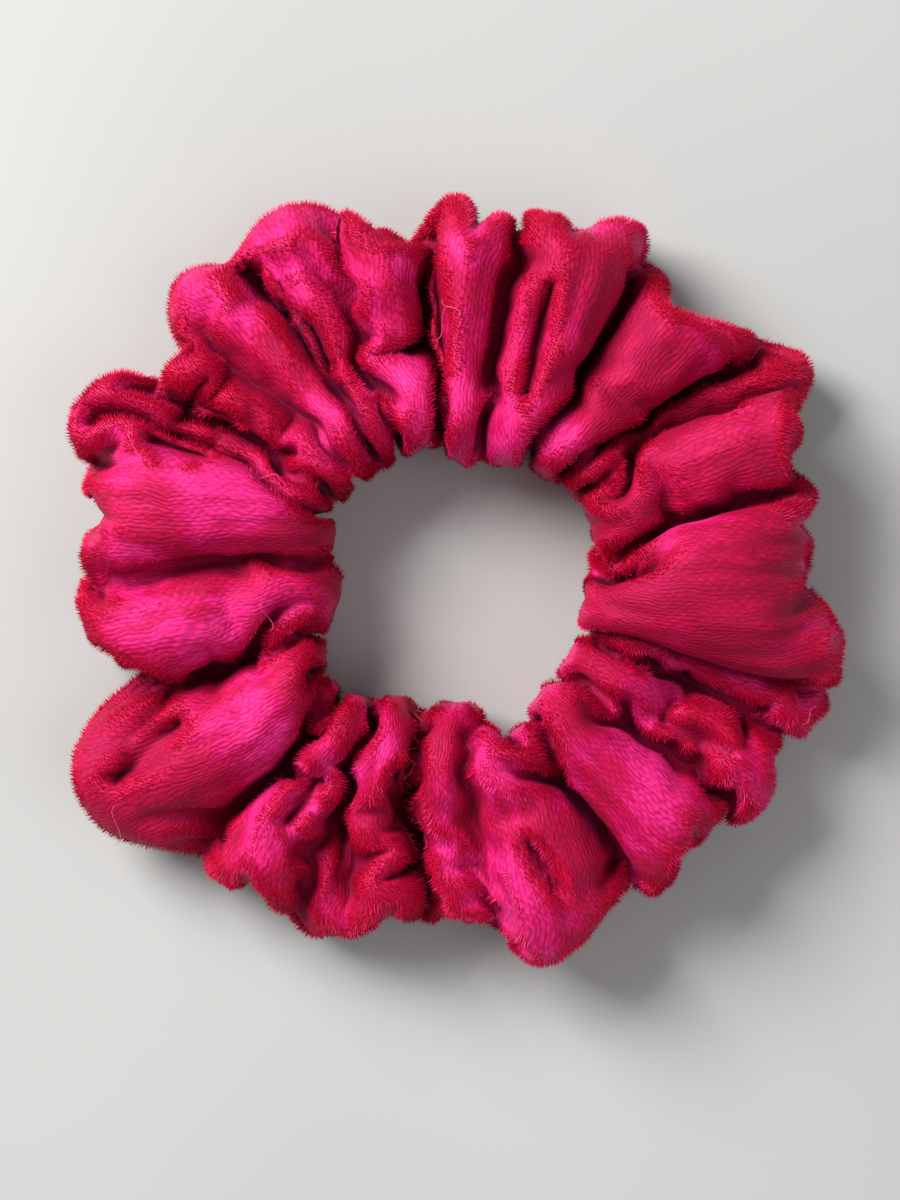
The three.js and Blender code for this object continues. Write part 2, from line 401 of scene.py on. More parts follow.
    @staticmethod
    def keep_off_elastic(x, radius):
        r = np.hypot(x[..., 0], x[..., 1])
        out = r - radius
        z = x[..., 2] - ELASTIC_HEIGHT
        up = z - np.clip(z, -ELASTIC_HALF_WIDTH, ELASTIC_HALF_WIDTH)
        distance = np.sqrt(out * out + up * up) + 1e-6
        inside = distance < ELASTIC_ROOM
        push = (ELASTIC_ROOM - distance[inside]) / distance[inside]
        wider = 1 + out[inside] * push / r[inside]
        x[..., 0][inside] *= wider
        x[..., 1][inside] *= wider
        x[..., 2][inside] += up[inside] * push

    @staticmethod
    def gap_to(table, x, shift):
        """How far each point lies inside a table's edge, and its own radius."""
        angle = np.degrees(np.arctan2(x[..., 1], x[..., 0]))
        edge = np.interp(angle, *np.array(table, float).T, period=360).astype(F) + F(shift)
        r = np.hypot(x[..., 0], x[..., 1])
        return edge - r, np.maximum(r, 1)

    def keep_hole_open(self, x, shift):
        gap, r = self.gap_to(HOLE, x, shift)
        x[..., :2] *= (1 + 0.5 * np.maximum(0, gap) / r)[..., None]

    def keep_to_outline(self, x, shift):
        """Nothing reaches past the outline, and the rim's rows are drawn to it."""
        gap, r = self.gap_to(OUTLINE, x, shift - PILE_AT_RIM)
        x[..., :2] *= (1 + np.where(gap < 0, F(0.5), self.rim_pull) * gap / r)[..., None]

    def run(self):
        """Draws the ring in over the first steps, then lets the cloth settle."""
        shift = START_RADIUS - ELASTIC_RADIUS
        noise = np.random.default_rng(SEED).normal(0, START_NOISE, (COLUMNS, ROWS, 3))
        x = (self.target(shift) + noise).astype(F)
        speed = np.zeros_like(x)
        for step in range(GATHER_STEPS + SETTLE_STEPS):
            shift = (START_RADIUS - ELASTIC_RADIUS) * (1 - min(1.0, step / GATHER_STEPS))
            led = max(0.0, min(1.0, 1 - (step - GATHER_STEPS) / (0.6 * SETTLE_STEPS)))
            before = x.copy()
            speed *= F(KEEP_SPEED)
            speed[..., 2] -= F(GRAVITY)
            if step > GATHER_STEPS // 2:
                speed += F(PRESSURE) * directions(x)[2].astype(F)
            speed *= np.minimum(1, F(MAX_SPEED) / (np.linalg.norm(speed, axis=-1, keepdims=True) + F(1e-6)))
            x += speed
            if step % 4 == 0:
                target = self.target(shift).astype(F)
            towards = np.maximum(F(GUIDE * led) * self.led, F(min(1, led + 0.3)) * self.led_hole)
            towards = np.maximum(towards, F(GUIDE * max(DEEP_HOLD, led)) * self.led_deep)
            towards = np.maximum(towards, F(max(RIM_GUIDE["hold"], led)) * self.led_rim)
            x += towards * (target - x)
            if step % PAIRS_EVERY == 0:
                self.find_pairs(x)
            for _ in range(STRETCH_PASSES):
                self.along(x, 0, self.rest_u, PUSH_BACK)
                self.along(x, 1, F(self.dv), PUSH_BACK)
                self.shear(x)
            self.bend(x, 0, self.bend_rest_u, BEND, 2)
            self.bend(x, 0, self.wide_rest_u, WIDE_BEND, 4)
            self.bend(x, 1, self.bend_rest_v, BEND, 2)
            self.collide(x)
            self.keep_off_elastic(x, ELASTIC_RADIUS + shift)
            np.maximum(x[..., 2], F(TABLE_HEIGHT), out=x[..., 2])
            if step % 2 == 0:
                self.keep_hole_open(x, shift)
                self.keep_to_outline(x, shift)
            moved = x - before
            moved *= np.minimum(1, F(MAX_STEP) / (np.linalg.norm(moved, axis=-1, keepdims=True) + F(1e-6)))
            x = before + moved
            speed = moved
        return x


# The cover's finished mesh and its pile
SURFACE_OUT = 0.4  # the velvet's ground stands this far out of the simulated middle
SEAM_ROW = 0.625  # where the long seam runs: on the underside, near the hole
ALLOWANCE_ROWS = 3
ALLOWANCE_IN = 4.0
TUFT_SPACING = (0.42, 0.40)  # along and across the strip
TUFT_LENGTH = (0.45, 0.88)  # on the faces, and on the folds' edges
TUFT_WIDTH = 0.11
TUFT_LEAN = (80, 62)  # degrees from upright on the faces, and how much less on the edges
TUFT_LAY = 200  # degrees from the strip's width to the way the pile is brushed
TUFT_ROOT = 0.12  # tufts start this deep in the cloth
FACE_PILE = 0.015  # the share of tufts drawn where the pile is laid flat
EDGE_PILE = 1.3  # and how fast the share grows towards an edge
UNDERSIDE_PILE = 0.35
PILE_PIECES = 4
RIM_BAND = 1.3  # the pile stands up this far each side of the rim's crease
EDGE_FROM = 0.22  # a point that stands this far proud of its neighbours begins to be an edge
LOWEST = 0.35  # the cloth stays this far above the table

# Hollows pressed into the lobes: from an angle and radius to another, half width and depth
DENTS = [
    (154.5, 46.5, 152.5, 39, 2.2, 5), (-150.5, 53.5, -153.5, 42.5, 2.3, 3.6),
    (-126, 39.5, -125, 32.5, 1.7, 3.4), (124.3, 56, 122, 45, 1.9, 7.5),
    (122, 45, 119.5, 35, 1.6, 6.5), (72.5, 43, 70, 28, 1.5, 4.5),
    (94.3, 46, 93, 29, 1.2, 4.5), (-71.5, 44, -74, 36, 1.2, 3.5), (-22.5, 45, -23, 27, 1.1, 4),
    (-96, 40, -107, 27, 1.8, 5), (146.5, 50, 143, 38, 1.2, 4), (-31, 44, -33, 34, 1.5, 2),
]


def finer(grid, axis, factor):
    """A closed grid with factor times as many points along an axis, on a smooth cubic curve."""
    g = np.moveaxis(np.asarray(grid, float), axis, 0)
    before, after, far = np.roll(g, 1, 0), np.roll(g, -1, 0), np.roll(g, -2, 0)
    out = []
    for k in range(factor):
        t = k / factor
        weights = (1 - t) ** 3, 3 * t ** 3 - 6 * t ** 2 + 4, -3 * t ** 3 + 3 * t ** 2 + 3 * t + 1, t ** 3
        out.append(sum(w / 6 * p for w, p in zip(weights, (before, g, after, far))))
    joined = np.stack(out, 1).reshape(-1, *g.shape[1:])
    return np.moveaxis(joined, 0, axis)


def bulge(grid, normals, reach):
    """How far each point of a closed grid stands proud of the points round it."""
    round_it = sum(np.roll(grid, s * reach, a) for s in (-1, 1) for a in (0, 1)) / 4
    return ((grid - round_it) * normals).sum(-1)


def smooth_field(rng, shape, cells):
    """Smooth closed random values of about -1 to 1 on the grid."""
    coarse = rng.normal(0, 1, cells)
    fu, fv = np.arange(shape[0]) / shape[0] * cells[0], np.arange(shape[1]) / shape[1] * cells[1]
    iu, iv = fu.astype(int), fv.astype(int)
    tu, tv = smooth(fu - iu)[:, None], smooth(fv - iv)[None, :]
    at = lambda a, b: coarse[(iu + a) % cells[0]][:, (iv + b) % cells[1]]
    return (at(0, 0) * (1 - tu) + at(1, 0) * tu) * (1 - tv) + (at(0, 1) * (1 - tu) + at(1, 1) * tu) * tv


def quads(nu, nv, closed_u=True, closed_v=True):
    """The faces of a grid of points, which may be closed along each axis."""
    i, j = np.meshgrid(np.arange(nu - (not closed_u)), np.arange(nv - (not closed_v)), indexing="ij")
    i2, j2 = (i + 1) % nu, (j + 1) % nv
    return np.stack([i * nv + j, i2 * nv + j, i2 * nv + j2, i * nv + j2], -1).reshape(-1, 4)


def search_tree(grid):
    """The closed grid's surface, for casting rays at it."""
    return BVHTree.FromPolygons(grid.reshape(-1, 3).tolist(), quads(*grid.shape[:2]).tolist())


def openness(grid, normals, reach=9.0, start_out=0.25, slant=50.0, rings=7):
    """From 0 in a closed crease to 1 in the open, by one straight ray and a ring of slanted ones."""
    cast = search_tree(grid).ray_cast
    side = unit(np.cross(normals, np.array([0.31, 0.17, 0.94])))
    other = np.cross(normals, side)
    start = (grid + normals * start_out).reshape(-1, 3).tolist()
    free = np.zeros(len(start))
    for k in range(rings + 1):
        lean = math.radians(0 if k == 0 else slant)
        turn = TAU * k / rings
        ray = normals * math.cos(lean) + (side * math.cos(turn) + other * math.sin(turn)) * math.sin(lean)
        hits = [cast(p, d, reach)[3] for p, d in zip(start, ray.reshape(-1, 3).tolist())]
        free += [1.0 if h is None else min(1.0, h / reach) for h in hits]
    return (free / (rings + 1)).reshape(grid.shape[:2])


def pressed(grid, normals):
    """The grid with its hollows pressed in."""
    grid = grid.copy()
    upper = np.clip(normals[..., 2] * 2, 0, 1) * (grid[..., 2] > ELASTIC_HEIGHT)
    for angle_a, radius_a, angle_b, radius_b, half_width, depth in DENTS:
        a, b = math.radians(angle_a), math.radians(angle_b)
        start = np.array([radius_a * math.cos(a), radius_a * math.sin(a)])
        way = np.array([radius_b * math.cos(b), radius_b * math.sin(b)]) - start
        off = grid[..., :2] - start
        t = np.clip((off @ way) / (way @ way), 0, 1)
        away = np.linalg.norm(off - t[..., None] * way, axis=-1)
        width = half_width * (0.45 + 0.55 * np.sin(math.pi * np.clip(t, 0.05, 0.95)))
        grid[..., 2] -= upper * depth * np.exp(-(away / width) ** 2)
    return grid


class Cloth:
    """The gathered cloth on a finer closed grid, with what the mesh and the pile need to know of it."""

    def __init__(self, grid, closing_column):
        for axis in (0, 1):
            grid = finer(grid, axis, SUBDIVIDE)
        grid = pressed(grid, directions(grid)[2])
        row = np.arange(grid.shape[1])
        from_rim = np.minimum(row, row[-1] + 1 - row) * STRIP_GIRTH / len(row)
        turn = (-round(closing_column * SUBDIVIDE), -round(SEAM_ROW * ROWS * SUBDIVIDE))
        grid = np.roll(grid, turn, (0, 1))  # the strip starts at the closing seam and the long seam
        from_rim = np.roll(from_rim, turn[1])
        _, _, normals = directions(grid)
        grid = grid + normals * SURFACE_OUT
        grid[..., 2] = np.maximum(grid[..., 2], LOWEST)
        self.grid = grid
        self.du, self.dv, self.normals = directions(grid)
        small = bulge(grid, self.normals, 2)
        broad = bulge(grid, self.normals, 5)
        rim = 0.9 * np.exp(-(from_rim / RIM_BAND) ** 2)[None, :] * np.clip(small * 6, 0, 1)
        self.edge = np.maximum(np.clip((small - EDGE_FROM) * 3.6, 0, 1), rim)
        # hollow is used only for painted shade in the ground; open also sets where tufts grow, and the
        # materials paint shade from it
        self.hollow = np.clip(-small - broad * 0.35, 0, 1)
        self.open = openness(grid, self.normals)
        self.shape = grid.shape[:2]

    def sample(self, values, a, b):
        """values at fractions a, b of the grid's columns and rows."""
        nu, nv = self.shape
        a, b = a * nu, b * nv
        i, j = a.astype(int) % nu, b.astype(int) % nv
        ta, tb = a - np.floor(a), b - np.floor(b)
        if values.ndim == 3:
            ta, tb = ta[:, None], tb[:, None]
        i2, j2 = (i + 1) % nu, (j + 1) % nv
        near = values[i, j] * (1 - ta) + values[i2, j] * ta
        return near * (1 - tb) + (values[i, j2] * (1 - ta) + values[i2, j2] * ta) * tb


def new_mesh(name, points, faces, smooth_shading=True):
    """A piece from points in millimetres and an array of quads or triangles, or a list of such arrays."""
    groups = faces if isinstance(faces, list) else [faces]
    mesh = bpy.data.meshes.new(name)
    mesh.vertices.add(len(points))
    mesh.vertices.foreach_set("co", (np.asarray(points) * MM).astype(F).ravel())
    sizes = np.concatenate([np.full(len(g), g.shape[1]) for g in groups])
    corners = np.concatenate([g.ravel() for g in groups])
    mesh.loops.add(len(corners))
    mesh.loops.foreach_set("vertex_index", corners.astype(np.int32))
    mesh.polygons.add(len(sizes))
    mesh.polygons.foreach_set("loop_start", (np.cumsum(sizes) - sizes).astype(np.int32))
    mesh.polygons.foreach_set("use_smooth", np.full(len(sizes), smooth_shading))
    mesh.update(calc_edges=True)
    mesh.validate()
    rest = mesh.attributes.new("rest_place", "FLOAT_VECTOR", "POINT")  # the textures stay on the moving cloth
    rest.data.foreach_set("vector", (np.asarray(points) * MM).astype(F).ravel())
    piece = bpy.data.objects.new(name, mesh)
    bpy.context.collection.objects.link(piece)
    return piece


def add_values(piece, name, values):
    attribute = piece.data.attributes.new(name, "FLOAT", "POINT")
    attribute.data.foreach_set("value", np.asarray(values, F).ravel())


def turned_in(layer, towards, side, count):
    """Rows of a seam allowance, from the seam's points inwards, on one side of the seam."""
    room = np.linalg.norm(towards - layer, axis=-1, keepdims=True)
    inward = (towards - layer) / (room + 1e-6)
    depth = np.minimum(ALLOWANCE_IN, 0.6 * room)
    return [layer + inward * depth * (k + 1) / count + side * 0.25 * min(1, k + 0.5) for k in range(count)]


def make_cover(cloth):
    """The one strip, sewn to a tube along its length and end to end, with its raw edges inside."""
    n = ALLOWANCE_ROWS
    middle = np.concatenate([cloth.grid.mean(1), cloth.grid[:1].mean(1)])
    strip = np.pad(cloth.grid, ((0, 1), (0, 1), (0, 0)), mode="wrap")
    across = np.concatenate([cloth.dv[:, 0], cloth.dv[:1, 0]])
    start = turned_in(strip[:, 0], middle, across, n)
    end = turned_in(strip[:, -1], middle, -across, n)
    strip = np.concatenate([np.stack(start[::-1], 1), strip, np.stack(end, 1)], 1)
    heart = np.broadcast_to(middle[0], strip[0].shape)
    along = np.broadcast_to(unit(np.cross([0, 0, 1], middle[0])), strip[0].shape)
    first = turned_in(strip[0], heart, along, n)
    last = turned_in(strip[-1], heart, -along, n)
    strip = np.concatenate([np.stack(first[::-1], 0), strip, np.stack(last, 0)], 0)
    nu, nv = strip.shape[:2]
    cover = new_mesh("velvet_cover", strip.reshape(-1, 3), quads(nu, nv, False, False))
    # edge gives the folds' redder edges; hollow and open carry painted shade to the ground material
    for name, values in (("edge", cloth.edge), ("hollow", cloth.hollow), ("open", cloth.open)):
        add_values(cover, name, np.pad(np.pad(values, (0, 1), mode="wrap"), n, mode="edge"))
    us = (np.arange(nu) - n) / (nu - 2 * n - 1) * STRIP_LENGTH * MM
    vs = (np.arange(nv) - n) / (nv - 2 * n - 1) * STRIP_GIRTH * MM
    uv = np.stack(np.meshgrid(us, vs, indexing="ij"), -1).reshape(-1, 2)
    corner_points = np.empty(len(cover.data.loops), np.int32)
    cover.data.loops.foreach_get("vertex_index", corner_points)
    layer = cover.data.uv_layers.new(name="strip")
    layer.data.foreach_set("uv", uv[corner_points].astype(F).ravel())
    return cover


def make_pile(cloth):
    """The pile that can be seen: tapered tufts, upright on the folds' edges and laid over elsewhere."""
    rng = np.random.default_rng(SEED + 1)
    nu, nv = round(STRIP_LENGTH / TUFT_SPACING[0]), round(STRIP_GIRTH / TUFT_SPACING[1])
    a, b = np.meshgrid(np.arange(nu), np.arange(nv), indexing="ij")
    a = ((a + 0.5 * (b % 2) + rng.uniform(-0.25, 0.25, a.shape)) / nu % 1).ravel()
    b = ((b + rng.uniform(-0.25, 0.25, b.shape)) / nv % 1).ravel()
    seen = cloth.sample(cloth.open, a, b)
    edge = cloth.sample(cloth.edge, a, b)
    height = cloth.sample(cloth.grid, a, b)[:, 2]
    normal_z = cloth.sample(cloth.normals, a, b)[:, 2]
    wanted = np.clip(seen * 1.6 - 0.15, 0, 1) * np.clip(FACE_PILE + edge * EDGE_PILE, 0, 1)
    wanted = np.where((normal_z < -0.35) & (height < 9), wanted * UNDERSIDE_PILE, wanted)
    kept = rng.uniform(0, 1, len(a)) < wanted
    a, b, edge, seen = a[kept], b[kept], edge[kept], seen[kept]

    wander = cloth.sample(smooth_field(rng, cloth.shape, (90, 14)), a, b)
    fine = cloth.sample(smooth_field(rng, cloth.shape, (260, 40)), a, b)
    root = cloth.sample(cloth.grid, a, b)
    n = unit(cloth.sample(cloth.normals, a, b))
    du, dv = unit(cloth.sample(cloth.du, a, b)), unit(cloth.sample(cloth.dv, a, b))
    turn = (math.radians(TUFT_LAY) + 0.5 * wander + 0.25 * fine + rng.normal(0, 0.22, len(a)))[:, None]
    lay = unit(dv * np.cos(turn) + du * np.sin(turn))
    lean = TUFT_LEAN[0] - TUFT_LEAN[1] * edge + 5 * fine + rng.normal(0, 6, len(a))
    lean = np.radians(np.clip(lean, 4, 84))[:, None]
    way = unit(n * np.cos(lean) + lay * np.sin(lean))
    length = TUFT_LENGTH[0] + (TUFT_LENGTH[1] - TUFT_LENGTH[0]) * np.clip(edge * 1.5, 0, 1)
    length = (length * rng.uniform(0.8, 1.15, len(a)))[:, None]
    width = (TUFT_WIDTH * rng.uniform(0.8, 1.3, len(a)))[:, None]
    side = unit(np.cross(way, n + 0.3 * du))
    flat = np.cross(side, way)
    foot = root - n * TUFT_ROOT
    points = np.stack([
        foot + side * width,
        foot - side * width * 0.6 + flat * width * 0.8,
        foot - side * width * 0.6 - flat * width * 0.8,
        foot + way * length + n * TUFT_ROOT,
    ], 1)
    points[..., 2] = np.maximum(points[..., 2], 0.1)
    tone = np.clip(0.5 + 0.16 * wander + 0.12 * fine + 0.14 * rng.normal(0, 1, len(a)), 0, 1)
    corners = np.array([[0, 1, 3], [1, 2, 3], [2, 0, 3], [0, 2, 1]])
    pieces = []
    for k in range(PILE_PIECES):
        mine = np.arange(len(a) * k // PILE_PIECES, len(a) * (k + 1) // PILE_PIECES)
        faces = (np.arange(len(mine))[:, None, None] * 4 + corners).reshape(-1, 3)
        piece = new_mesh(f"velvet_pile_{k + 1}", points[mine].reshape(-1, 3), faces, smooth_shading=False)
        # open carries painted shade to the pile material
        for name, values in (("tone", tone), ("edge", edge), ("open", seen)):
            add_values(piece, name, np.repeat(values[mine], 4))
        add_values(piece, "tip", np.tile([0.0, 0.0, 0.0, 1.0], len(mine)))
        pieces.append(piece)
    return pieces


def tube(path, radius, sides=6, closed=False, taper=False):
    """A round thread along a path in millimetres."""
    path = np.asarray(path, float)
    count = len(path)
    if closed:
        ahead, behind = np.roll(path, -1, 0), np.roll(path, 1, 0)
    else:
        ahead, behind = np.concatenate([path[1:], path[-1:]]), np.concatenate([path[:1], path[:-1]])
    way = unit(ahead - behind)
    side = unit(np.cross(way, np.array([0.0, 0.0, 1.0]) + 0.37 * np.array([way[0, 1], -way[0, 0], 0.1])))
    other = np.cross(way, side)
    turn = TAU * np.arange(sides) / sides
    radii = np.full(count, float(radius))
    if taper:
        radii *= np.clip(np.minimum(np.arange(count), np.arange(count)[::-1]) / 3 + 0.25, 0, 1)
    ring = side[:, None] * np.cos(turn)[None, :, None] + other[:, None] * np.sin(turn)[None, :, None]
    points = (path[:, None] + ring * radii[:, None, None]).reshape(-1, 3)
    faces = [quads(count, sides, closed)[:, [0, 3, 2, 1]]]
    if not closed:
        faces += [np.arange(sides)[::-1][None, :], (np.arange(sides) + (count - 1) * sides)[None, :]]
    return points, faces


def join(name, parts):
    """One piece from several (points, faces) pairs."""
    points, faces, total = [], [], 0
    for p, groups in parts:
        points.append(p)
        faces.extend(g + total for g in groups)
        total += len(p)
    return new_mesh(name, np.concatenate(points), faces)


def make_elastic():
    """A flat woven strip bent to a ring, with one end lapped over its start under the closing seam."""
    radius, thickness, half, lap, gap = 25.1, 1.0, 2.0, 26, 0.3  # the lap in degrees
    steps, rib_count, rib_depth, weave_depth = 400, 10, 0.06, 0.03
    across = np.linspace(-1, 1, 2 * rib_count + 1)
    ribs = rib_depth * np.cos(across * rib_count * math.pi)
    outline = [(thickness + r, half * w) for w, r in zip(across, ribs)]
    outline += [(-r, half * w) for w, r in zip(across[::-1], ribs[::-1])]
    outline = np.array(outline)
    k = np.arange(steps + 1)
    angle = np.radians(270 - lap / 2 + (360 + lap) * k / steps)
    climb = smooth(np.clip(((360 + lap) * k / steps - 340) / 20, 0, 1)) * (thickness + gap)
    weave = weave_depth * np.cos(k * math.pi)
    off = outline[None, :, 0]
    r = radius + climb[:, None] + off + np.where(off > thickness / 2, 1, -1) * weave[:, None]
    z = ELASTIC_HEIGHT + np.broadcast_to(outline[None, :, 1], r.shape)
    points = np.stack([r * np.cos(angle)[:, None], r * np.sin(angle)[:, None], z], -1)
    n = len(outline)
    faces = [quads(steps + 1, n, False), np.arange(n)[None, :], (np.arange(n)[::-1] + steps * n)[None, :]]
    piece = new_mesh("woven_elastic", points.reshape(-1, 3), faces)
    add_values(piece, "along", np.repeat(np.radians(360 + lap) * k / steps * radius, n))
    return piece


# ---- Materials ----

class Nodes:
    """A short way to build a material's nodes."""

    def __init__(self, name):
        self.material = bpy.data.materials.new(name)
        self.material.use_nodes = True
        self.tree = self.material.node_tree
        self.shader = self.tree.nodes["Principled BSDF"]

    def add(self, kind, settings=None, **inputs):
        node = self.tree.nodes.new("ShaderNode" + kind)
        for key, value in (settings or {}).items():
            setattr(node, key, value)
        for key, value in inputs.items():
            self.put(node.inputs[int(key[1:]) if key[1:].isdigit() else key.replace("_", " ")], value)
        return node

    def put(self, socket, value):
        if isinstance(value, bpy.types.NodeSocket):
            self.tree.links.new(value, socket)
        else:
            socket.default_value = value

    def maths(self, operation, *values, clamp=False):
        inputs = {f"i{k}": v for k, v in enumerate(values)}
        return self.add("Math", {"operation": operation, "use_clamp": clamp}, **inputs).outputs[0]

    def times(self, a, b, clamp=False):
        return self.maths("MULTIPLY", a, b, clamp=clamp)

    def plus(self, a, b):
        return self.maths("ADD", a, b)

    def value(self, name):
        return self.add("Attribute", {"attribute_name": name}).outputs["Fac"]

    def place(self):
        """Where the point lies when the piece is at rest, in metres."""
        return self.add("Attribute", {"attribute_name": "rest_place"}).outputs["Vector"]

    def noise(self, vector, scale, detail=2.0):
        return self.add("TexNoise", Vector=vector, Scale=scale, Detail=detail).outputs["Fac"]

    def ramp(self, factor, *stops):
        node = self.add("ValToRGB", Fac=factor)
        elements = node.color_ramp.elements
        while len(elements) < len(stops):
            elements.new(0.5)
        for element, (place, colour) in zip(elements, stops):
            element.position = place
            element.color = (*colour, 1)
        return node.outputs["Color"]

    def mix(self, factor, a, b):
        """From colour a to colour b."""
        node = self.add("Mix", {"data_type": "RGBA"})
        for key, value in ((0, factor), (6, a), (7, b)):
            self.put(node.inputs[key], (*value, 1) if isinstance(value, tuple) else value)
        return node.outputs[2]

    def range(self, value, low, high, to_low=0.0, to_high=1.0):
        return self.add("MapRange", i0=value, i1=low, i2=high, i3=to_low, i4=to_high).outputs[0]

    def set(self, **inputs):
        for key, value in inputs.items():
            self.put(self.shader.inputs[key.replace("_", " ")], value)

    def bump(self, height, strength, distance):
        self.set(Normal=self.add("Bump", Height=height, Strength=strength, Distance=distance).outputs[0])


# the darkest of these reds is painted shade, used only in closed-in creases
CREASE_SHADE = (0.03, 0.0, 0.005)
DARK = (0.15, 0.0, 0.012)
CRIMSON = (0.27, 0.0005, 0.015)
RED = (0.37, 0.001, 0.026)
MAGENTA = (0.47, 0.003, 0.075)
PINK = (0.68, 0.018, 0.175)
EDGE_RED = (0.42, 0.0005, 0.016)
SATIN_TINT = (1.0, 0.12, 0.5, 1.0)
SHEEN_TINT = (1.0, 0.08, 0.4, 1.0)

WALE = 0.00072  # the knit's rows are this far apart along the strip
DASH = 0.0015  # and the dashes in a row repeat at this distance


def velvet_ground():
    """The crushed velvet's laid pile: rows of short dashes, pressed patches, and painted shade in the
    creases.
    """
    m = Nodes("velvet_ground")
    strip = m.add("UVMap", {"uv_map": "strip"}).outputs["UV"]
    place = m.place()
    bent = m.range(m.noise(place, 160.0, 2.0), 0.0, 1.0, -0.0016, 0.0016)
    shift = m.add("CombineXYZ", i0=bent, i1=bent).outputs[0]
    bend = m.add("VectorMath", {"operation": "ADD"}, i0=strip, i1=shift).outputs[0]
    across = m.add("Mapping", Vector=bend, Scale=(1.0, 0.34, 1.0)).outputs["Vector"]
    dash = m.noise(across, 2400.0, 1.0)
    u, v = m.add("SeparateXYZ", i0=bend).outputs[:2]
    rows = m.times(u, 1 / WALE)
    row = m.maths("SINE", m.times(rows, TAU))
    stagger = m.times(m.maths("FLOOR", m.plus(rows, 0.25)), 0.45 * TAU)
    step = m.maths("SINE", m.maths("MULTIPLY_ADD", v, TAU / DASH, stagger))
    dashes = m.plus(m.times(dash, 0.67), m.range(row, -1.0, 1.0, 0.0, 0.16))
    dashes = m.plus(dashes, m.range(step, -1.0, 1.0, 0.0, 0.17))
    dashes = m.range(dashes, 0.3, 0.7)
    wander = m.range(m.noise(place, 62.0, 1.5), 0.42, 0.6)
    streaks = m.range(m.noise(across, 420.0, 2.0), 0.35, 0.65, -0.22, 0.22)
    tone = m.plus(m.times(wander, 0.8), streaks)
    tone = m.plus(tone, m.range(dashes, 0.0, 1.0, 0.0, 0.16))
    # painted shade: the tone drops towards crimson where the ray-cast openness finds the cloth closed in, and
    # in its hollows
    closed = m.range(m.value("open"), 0.75, 0.2)
    shade = m.plus(m.times(m.value("hollow"), 0.3), m.times(closed, 0.6))
    tone = m.maths("SUBTRACT", tone, shade)
    colour = m.ramp(tone, (0.05, CRIMSON), (0.35, RED), (0.62, MAGENTA), (0.95, PINK))
    colour = m.mix(m.times(m.value("edge"), 0.95, clamp=True), colour, EDGE_RED)
    colour = m.mix(m.range(dashes, 0.0, 0.75, 0.55, 0.0), colour, DARK)
    # painted shade: closed-in creases are mixed towards the near-black red
    colour = m.mix(m.times(closed, 0.85), colour, CREASE_SHADE)
    rough = m.range(tone, 0.0, 1.0, 0.68, 0.54)
    m.set(Base_Color=colour, Roughness=rough, IOR=1.75)
    m.set(Sheen_Weight=0.05, Sheen_Roughness=0.4, Sheen_Tint=SHEEN_TINT)
    m.set(Specular_IOR_Level=0.5, Specular_Tint=SATIN_TINT)
    m.bump(dashes, 0.45, 0.00022)
    return m.material


def velvet_pile():
    """The tufts: painted shade at the root and where the cloth is closed in, crimson to magenta along the
    strip, redder on the folds' edges.
    """
    m = Nodes("velvet_pile")
    place = m.place()
    wander = m.range(m.noise(place, 62.0, 1.5), 0.42, 0.6)
    tone = m.plus(m.times(m.value("tone"), 0.4), m.times(wander, 0.6))
    colour = m.ramp(tone, (0.1, CRIMSON), (0.4, RED), (0.65, MAGENTA), (0.95, PINK))
    colour = m.mix(m.times(m.value("edge"), 0.9, clamp=True), colour, EDGE_RED)
    # painted shade: tufts darken where the cloth round them is closed in
    shade = m.range(m.value("open"), 0.7, 0.15)
    colour = m.mix(m.times(shade, 0.6), colour, DARK)
    # painted shade: each tuft darkens towards its root
    colour = m.mix(m.range(m.value("tip"), 0.0, 0.7, 0.15, 0.0), colour, DARK)
    m.set(Base_Color=colour, Roughness=m.range(tone, 0.3, 0.8, 0.55, 0.4))
    m.set(Specular_IOR_Level=0.6, Specular_Tint=SATIN_TINT)
    m.set(Sheen_Weight=0.08, Sheen_Roughness=0.35, Sheen_Tint=SHEEN_TINT)
    return m.material


def twisted_thread(name, colour, dark):
    """Sewing thread: a fine slanting twist and a little fuzz."""
    m = Nodes(name)
    place = m.place()
    slant = m.add("Mapping", Vector=place, Rotation=(0.6, 0.5, 0.7)).outputs["Vector"]
    twist = m.add("TexWave", Vector=slant, Scale=900.0, Distortion=1.5, Detail=1.0).outputs["Fac"]
    fuzz = m.noise(place, 2500.0, 3.0)
    m.set(Base_Color=m.mix(m.times(twist, fuzz), colour, dark))
    m.set(Roughness=m.range(fuzz, 0.3, 0.7, 0.5, 0.8), Sheen_Weight=0.2)
    m.bump(twist, 0.5, 0.0001)
    return m.material


def elastic_weave():
    """White woven elastic: ribs along it and fine picks across."""
    m = Nodes("elastic_weave")
    place = m.place()
    picks = m.maths("SINE", m.times(m.value("along"), 9.0))
    grain = m.noise(place, 3000.0, 3.0)
    pattern = m.times(m.range(picks, -1.0, 1.0), grain)
    colour = m.ramp(pattern, (0.1, (0.5, 0.47, 0.43)), (0.5, (0.82, 0.8, 0.76)))
    m.set(Base_Color=colour, Roughness=m.range(grain, 0.3, 0.7, 0.65, 0.85))
    m.bump(pattern, 0.6, 0.0002)
    return m.material


def floor_paint():
    m = Nodes("pale_floor")
    place = m.place()
    m.set(Base_Color=m.ramp(m.noise(place, 6.0, 2.0), (0.3, (0.37, 0.37, 0.365)), (0.7, (0.43, 0.43, 0.425))))
    m.set(Roughness=0.9, Specular_IOR_Level=0.2)
    return m.material


# ---- The view, the floor and the lights ----

